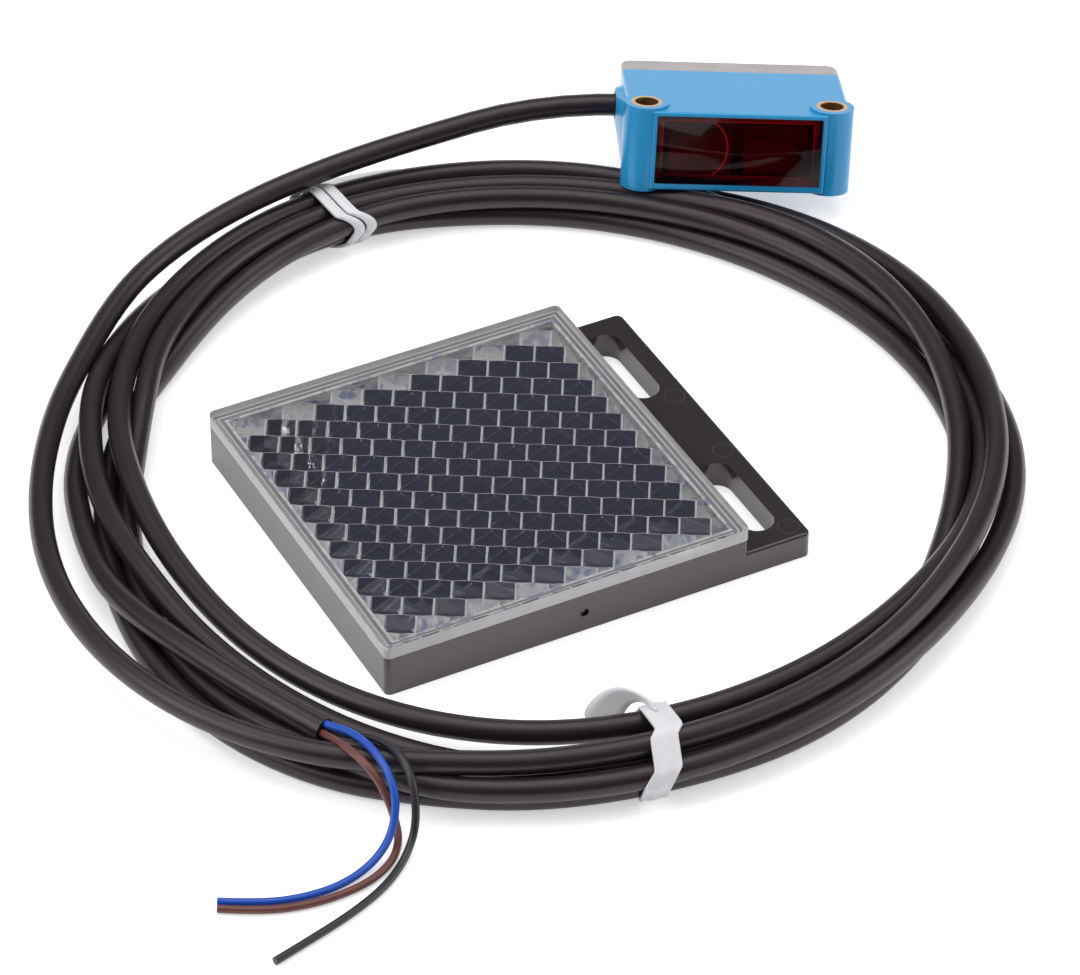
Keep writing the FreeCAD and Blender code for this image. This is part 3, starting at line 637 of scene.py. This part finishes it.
def slab_underside(shape, height):
    return [face for face in shape.faces
            if face.normal.z < -SAME_WAY and abs(face.calc_center_median().z - height) < LEVEL]


def side_gaps(place):
    """How far a place lies from the lens's -X, +X, -Y and +Y sides."""
    low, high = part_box("reflector_lens")
    return (place.x - low.x, high.x - place.x, place.y - low.y, high.y - place.y)


def cut_frame(shape, underside, inset):
    """Cuts the lens's flat underside along the four lines this far inside its sides."""
    low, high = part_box("reflector_lens")
    for along in (0, 1):
        for edge, way in ((low[along] + inset, -1), (high[along] - inset, 1)):
            place = Vector((0, 0, 0))
            normal = Vector((0, 0, 0))
            place[along] = edge
            normal[along] = way
            cut_faces(shape, slab_underside(shape, underside), place, normal)


def weld_seam(shape, underside):
    """Streaks the lens where it is welded to the base's wall, pale weld between darker bands of painted
    shade, gives the rest of its underside painted glints, and lifts the welded faces clear of that wall.
    """
    for band in SEAM_BANDS:
        cut_frame(shape, underside, band[0])
    welded = []
    for face in slab_underside(shape, underside):
        inside = min(side_gaps(face.calc_center_bounds()))
        bands = [finish for inset, finish in SEAM_BANDS if inside < inset]
        face.material_index = bands[0] if bands else PAINTED_GLINTS
        if bands:
            welded += face.verts
    bmesh.ops.translate(shape, verts=list(set(welded)), vec=(0, 0, WELD_LIFT))


def groove_roots(shape, underside, way):
    """The inner edges between the prisms that run this way."""
    roots = []
    for edge in shape.edges:
        first, last = edge.verts
        below = max(first.co.z, last.co.z) < underside - GROOVE_DEPTH
        along = abs((last.co - first.co).normalized().dot(way)) > GROOVE_WAY
        if below and along and len(edge.link_faces) == 2 and not edge.is_convex:
            roots.append(edge)
    return roots


def mould_grooves(shape, underside):
    """Narrow flats along the inner edges between the prisms, pale as painted light lines."""
    for way, width, finish in GROOVES:
        made = bmesh.ops.bevel(shape, geom=groove_roots(shape, underside, Vector(way)), offset=width,
                               offset_type="OFFSET", segments=1, profile=0.5, affect="EDGES", material=-1)
        for face in made["faces"]:
            face.material_index = finish


def at_side(face):
    """Whether a prism's face is one of those at the lens's sides, where prisms are cut off, that get painted
    glints.
    """
    gaps = side_gaps(face.calc_center_median())
    return any(gap < reach and face.normal.dot(way) > FACE_WAY
               for gap, (reach, way) in zip(gaps, SIDE_FACES))


def dress_prisms(shape, underside):
    """Finishes of the slab's edge, and painted glints on the prism field's outer walls and on the prism faces
    at the lens's sides.
    """
    for face in shape.faces:
        beneath = face.calc_center_median().z < underside
        if abs(face.normal.z) < UPRIGHT:
            face.material_index = PAINTED_GLINTS if beneath else EDGE
        if beneath and face.normal.z < UPRIGHT:
            face.smooth = False
            if face.material_index == PRISM and at_side(face):
                face.material_index = PAINTED_GLINTS


def prism_lens():
    """The clear plate: a copy of its solid, with the moulded grooves between its prisms, pale as painted
    light lines.
    """
    shape = merged_copy("reflector_lens")
    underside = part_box("reflector_base")[1].z
    mould_grooves(shape, underside)
    dress_prisms(shape, underside)
    weld_seam(shape, underside)
    lens = new_piece("prism_lens", shape, "prism", "groove", "painted_highlight_groove", "weld", "slab_edge",
                     "seam_shade", "glints")
    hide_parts("reflector_lens")


def ejector_marks():
    """Fine raised rings, each a small square section spun round."""
    shape = bmesh.new()
    far = MARK_RADIUS + MARK_LINE
    section = [(MARK_RADIUS, -MARK_RISE), (far, -MARK_RISE), (far, MARK_RISE), (MARK_RADIUS, MARK_RISE)]
    for x, y in MARKS:
        corners = [shape.verts.new(Vector((x + out, y, TAB_TOP + up)) * MM) for out, up in section]
        sides = [shape.edges.new((corners[k - 1], corners[k])) for k in range(len(corners))]
        bmesh.ops.spin(shape, geom=corners + sides, cent=Vector((x, y, 0)) * MM, axis=(0, 0, 1),
                       angle=2 * math.pi, steps=ARC_STEPS, use_merge=True)
    bmesh.ops.recalc_face_normals(shape, faces=shape.faces)
    marks = new_piece("ejector_marks", shape, "marks")


# Turns of the coil

def between(values, place):
    """A smooth curve through the measured values, read at any place along them."""
    i = min(int(place), len(values) - 2)
    t = place - i
    here, ahead = values[i], values[i + 1]
    behind = values[i - 1] if i else 2 * here - ahead
    beyond = values[i + 2] if i + 2 < len(values) else 2 * ahead - here
    bend = 2 * behind - 5 * here + 4 * ahead - beyond
    twist = 3 * (here - ahead) + beyond - behind
    return here + 0.5 * t * (ahead - behind + t * (bend + t * twist))


def coil_angle(step):
    return COIL_ZERO + 2 * math.pi * (FIRST_PLACE / PLACES + step / POINTS_PER_TURN)


def coil_place(angle, radius, height):
    around = Vector((math.cos(angle), math.sin(angle), 0))
    return COIL_CENTRE + around * radius + Vector((0, 0, height))


def laid_turns():
    """The cable's turns as they are laid: radius and height at every step round the coil."""
    per_place = POINTS_PER_TURN // PLACES
    strand = []
    for step in range((len(TURN_RADII) - 1) * per_place + 1):
        place = step / per_place
        layer = max(0.0, between(TURN_LAYERS, place))
        strand.append(Vector((between(TURN_RADII, place) * MM, CABLE_D / 2 + LAYER_RISE * layer)))
    return strand


def part_turns(strand, one, other, free):
    """Moves two turns apart, in the section through them both, until they only touch."""
    apart = strand[other] - strand[one]
    if apart.length < STRAND_GAP:
        push = apart.normalized() * ((STRAND_GAP - apart.length) / 2)
        if one in free:
            strand[one] -= push
        if other in free:
            strand[other] += push


def tie_grip(angle, reach):
    """How firmly the nearest tie holds the turns here, from 1 at the tie to 0 beyond its reach."""
    turns_away = [angle - tie for tie in (REAR_TIE_ANGLE, FRONT_TIE_ANGLE)]
    away = min(abs((turn + math.pi) % (2 * math.pi) - math.pi) for turn in turns_away)
    return max(0.0, 1 - away / reach)


def head_room(place):
    """How high the middle of a turn can lie where the head rests on it."""
    away = place - HEAD_BASE
    away.z = -(HEAD_FOOT + away.x * HEAD_UP.x + away.y * HEAD_UP.y) / HEAD_UP.z
    beneath = abs(away.dot(HEAD_RIGHT)) < HEAD_HALF and -HEAD_MARGIN < away.dot(HEAD_BACK)
    return HEAD_BASE.z + away.z - CABLE_D / 2 if beneath else math.inf


def settle_turns(strand):
    """Lets the turns sink and rest on the bench and on each other, near where they were laid."""
    laid = [point.copy() for point in strand]
    angles = [coil_angle(k) for k in range(len(strand))]
    rest = [CABLE_D / 2 + TIE_LIFT * tie_grip(angle, TIE_LIFT_REACH) for angle in angles]
    hold = [TIE_HOLD * tie_grip(angle, TIE_HOLD_REACH) for angle in angles]
    free = range(LEAD_HELD, len(strand) - TAIL_HELD)
    sections = [range(first, len(strand), POINTS_PER_TURN) for first in range(POINTS_PER_TURN)]
    for settling in range(SETTLE_ROUNDS):
        for k in free:
            strand[k].x += SETTLE_PULL * (laid[k].x - strand[k].x)
            strand[k].y += hold[k] * (laid[k].y - strand[k].y) - SETTLE_FALL
        for k in free:
            slack = (strand[k - 1] + strand[k + 1]) / 2 - strand[k]
            strand[k] += Vector((slack.x * SETTLE_SMOOTH[0], slack.y * SETTLE_SMOOTH[1]))
        for section in sections:
            for one in section:
                for other in range(one + POINTS_PER_TURN, len(strand), POINTS_PER_TURN):
                    part_turns(strand, one, other, free)
            for k in section:
                room = head_room(coil_place(angles[k], strand[k].x, 0))
                strand[k].y = max(min(strand[k].y, room), rest[k])
    return strand


def coil_points(strand):
    """Control points of the settled turns, a little outside them because the spline cuts corners."""
    reach = 4 / (3 + math.cos(2 * math.pi / POINTS_PER_TURN))
    steps = range(LEAD_HELD, len(strand) - TAIL_HELD)
    return [coil_place(coil_angle(step), strand[step].x * reach, strand[step].y) for step in steps]


# Cable and wires

def in_metres(points):
    return [Vector(point) * MM for point in points]


def smooth_cord(name, points, diameter, finish):
    """A round cord along one smooth spline."""
    curve = bpy.data.curves.new(name, "CURVE")
    curve.dimensions = "3D"
    curve.bevel_depth = diameter / 2
    curve.bevel_resolution = CORD_SIDES
    curve.use_fill_caps = True
    spline = curve.splines.new("NURBS")
    spline.points.add(len(points) - 1)
    for control, place in zip(spline.points, points):
        control.co = (*place, 1)
    spline.order_u = 3
    spline.use_endpoint_u = True
    spline.resolution_u = CORD_STEPS
    curve.materials.append(FINISHES[finish])
    cord = bpy.data.objects.new(name, curve)
    bpy.context.scene.collection.objects.link(cord)
    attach(cord, "root")
    return cord


def cable(strand, ties):
    points = in_metres(LEAD_POINTS) + coil_points(strand) + in_metres(TAIL_POINTS)
    cord = smooth_cord("cable", points, CABLE_D, "cable")
    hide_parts("cable_lead", "cable_coil", "cable_tail")


def wires():
    for node, points in WIRE_POINTS.items():
        cord = smooth_cord(node + "_insulated", in_metres(points), WIRE_D, node)
        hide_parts(node)


# Twist ties

def strands_at(strand, angle):
    """Where the turns that a tie holds pass through the section at its angle."""
    place = ((angle - coil_angle(0)) % (2 * math.pi)) / (2 * math.pi) * POINTS_PER_TURN
    found = []
    for turn in range(len(strand) // POINTS_PER_TURN + 1):
        at = place + turn * POINTS_PER_TURN
        first = int(at)
        if LEAD_HELD <= first < len(strand) - TAIL_HELD:
            found.append(strand[first].lerp(strand[first + 1], at - first))
    return found


def band_outline(strands):
    """Points round a bundle, each with the way it faces: the furthest strand that way and its radius."""
    outline = []
    for side in range(TIE_SIDES):
        turn = 2 * math.pi * side / TIE_SIDES
        way = Vector((math.cos(turn), math.sin(turn)))
        furthest = max(strands, key=way.dot)
        outline.append((furthest + way * (CABLE_D / 2 + TIE_SLACK), way))
    return outline


def add_wrap(shape, strands, angle, width, middle, lean):
    """A strip once round the bundle: rings of points across its profile, bridged to each other."""
    along = Vector((-math.sin(angle), math.cos(angle), 0))
    rings = []
    for share, rise in TIE_PROFILE:
        ring = []
        for point, way in band_outline(strands):
            aside = along * (middle + share * width + Vector(lean).dot(way)) * MM
            ring.append(shape.verts.new(coil_place(angle, *(point + way * rise * MM)) + aside))
        rings.append([shape.edges.new((ring[k - 1], ring[k])) for k in range(len(ring))])
    for near, far in zip(rings, rings[1:]):
        bmesh.ops.bridge_loops(shape, edges=near + far)


def add_free_end(shape, stations):
    """The strip's free end: its first edge, extruded from each pair of points to the next."""
    near = [shape.verts.new(point) for point in in_metres(stations[0])]
    edge = shape.edges.new(near)
    for station in stations[1:]:
        made = bmesh.ops.extrude_edge_only(shape, edges=[edge])["geom"]
        edge = next(item for item in made if isinstance(item, bmesh.types.BMEdge))
        far = [min(edge.verts, key=lambda vert: (vert.co - old.co).length) for old in near]
        for vert, place in zip(far, in_metres(station)):
            vert.co = place
        near = far


def thicken_strip(tie):
    """Smooths a strip and gives it its thickness."""
    curve = tie.modifiers.new("curve", "SUBSURF")
    curve.levels = TIE_SMOOTHING
    curve.render_levels = TIE_SMOOTHING
    wall = tie.modifiers.new("wall", "SOLIDIFY")
    wall.thickness = TIE_THICK
    wall.offset = 1


def twist_ties(strand):
    ties = []
    for name, (angle, width, middles, lean, free_end) in TIES.items():
        shape = bmesh.new()
        for middle in middles:
            add_wrap(shape, strands_at(strand, angle), angle, width, middle, lean)
        add_free_end(shape, free_end)
        bmesh.ops.recalc_face_normals(shape, faces=shape.faces)
        for face in shape.faces:
            face.smooth = True
        tie = new_piece(name + "_tie_strip", shape, "tie")
        thicken_strip(tie)
        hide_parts(name + "_twist_tie")
        ties.append(tie)
    return ties


studio()
dress_nodes()
window_pane()
painted_lens_rim_highlight()
prism_lens()
ejector_marks()
turns = settle_turns(laid_turns())
cable(turns, twist_ties(turns))
wires()
